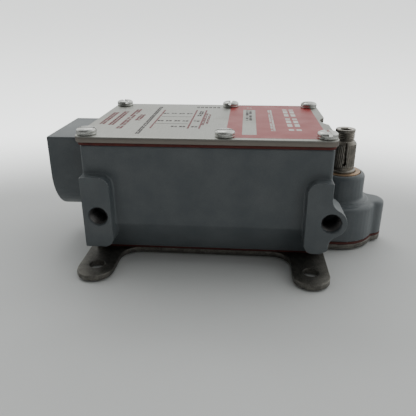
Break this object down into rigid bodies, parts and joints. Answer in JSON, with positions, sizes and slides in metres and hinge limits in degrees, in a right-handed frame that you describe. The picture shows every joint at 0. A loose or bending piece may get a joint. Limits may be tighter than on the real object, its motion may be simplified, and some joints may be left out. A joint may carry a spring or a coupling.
{
  "type": "limit switch",
  "caption": "Heavy-duty limit switch: a painted cast housing with a screwed cover, a side conduit hub and an eared base plate, and a knurled, spring-returned lever shaft.",
  "frame": {"origin": "on the back face of the base plate, at the centre of the rectangle of its four mounting holes", "axes": "+X from the conduit hub towards the shaft head, +Z out of the mounting face towards the cover and along the lever shaft, +Y completes a right-handed frame"},
  "size_m": [0.175, 0.1216, 0.0672],
  "materials": {
    "casting_paint": "satin blue-grey paint over a fine cast texture, scuffed to metal on the edges",
    "cover_steel": null,
    "cover_gasket_rubber": "matt red sheet rubber",
    "base_gasket_rubber": "matt red sheet rubber",
    "cover_screw_steel": "bright plated steel, worn in the slots",
    "base_plate_steel": "dull plated steel, scratched bright along the front rims of the ears",
    "base_plate_screw_steel": "dull plated steel",
    "lever_shaft_steel": "dark steel, knurled on the lever seat",
    "bushing_bronze": "machined bronze, dulled",
    "seal_rubber": "black rubber",
    "cam_steel": "ground steel",
    "spring_steel": "drawn spring wire",
    "pin_steel": "plated steel",
    "slide_plastic": "moulded off-white plastic",
    "phenolic": "moulded brown-black phenolic",
    "contact_silver": "silver-faced contact strip",
    "terminal_brass": "plated brass",
    "ground_screw_green": "green-coloured ground screw"
  },
  "bodies": {
    "housing": {"housing": "casting_paint", "front_cover": "cover_steel", "front_cover_gasket": "cover_gasket_rubber", "cover_screw_1": "cover_screw_steel", "cover_screw_2": "cover_screw_steel", "cover_screw_3": "cover_screw_steel", "cover_screw_4": "cover_screw_steel", "cover_screw_5": "cover_screw_steel", "cover_screw_6": "cover_screw_steel", "base_plate": "base_plate_steel", "base_gasket": "base_gasket_rubber", "base_plate_screw_1": "base_plate_screw_steel", "base_plate_screw_2": "base_plate_screw_steel", "base_plate_screw_3": "base_plate_screw_steel", "base_plate_screw_4": "base_plate_screw_steel", "base_plate_screw_5": "base_plate_screw_steel", "shaft_bushing": "bushing_bronze", "thrust_washer": "bushing_bronze", "spring_anchor_pin": "pin_steel", "return_spring": "spring_steel", "slide_guide": "pin_steel", "guide_screw_1": "pin_steel", "guide_screw_2": "pin_steel", "contact_block": "phenolic", "contact_block_cap": "phenolic", "contact_block_screw_1": "pin_steel", "contact_block_screw_2": "pin_steel", "fixed_contact_1": "terminal_brass", "terminal_screw_1": "terminal_brass", "fixed_contact_2": "terminal_brass", "terminal_screw_2": "terminal_brass", "fixed_contact_3": "terminal_brass", "terminal_screw_3": "terminal_brass", "fixed_contact_4": "terminal_brass", "terminal_screw_4": "terminal_brass", "fixed_contact_5": "terminal_brass", "terminal_screw_5": "terminal_brass", "fixed_contact_6": "terminal_brass", "terminal_screw_6": "terminal_brass", "fixed_contact_7": "terminal_brass", "terminal_screw_7": "terminal_brass", "fixed_contact_8": "terminal_brass", "terminal_screw_8": "terminal_brass", "ground_screw": "ground_screw_green"},
    "lever_shaft": {"lever_shaft": "lever_shaft_steel", "drive_cam": "cam_steel", "cam_drive_pin": "pin_steel", "cam_retaining_ring": "spring_steel", "shaft_seal": "seal_rubber"},
    "push_slide": {"push_slide": "slide_plastic", "contact_carrier": "slide_plastic", "contact_bridge_1": "contact_silver", "contact_bridge_2": "contact_silver", "bridge_spring_1": "spring_steel", "bridge_spring_2": "spring_steel"}
  },
  "joints": [
    {"name": "shaft_turn", "type": "hinge", "parent": "housing", "child": "lever_shaft", "pos_m": [0.0704, 0, 0], "axis": [0, 0, 1], "range_deg": [-60, 60], "stiffness_Nm_per_rad": 0.45, "deforming": ["return_spring"]},
    {"name": "slide_travel", "type": "slide", "parent": "housing", "child": "push_slide", "axis": [1, 0, 0], "range_m": [-0.0026, 0.0026]}
  ],
  "couplings": [
    {"joint": "slide_travel", "follows": "shaft_turn", "m_per_rad": -0.0023873}
  ]
}
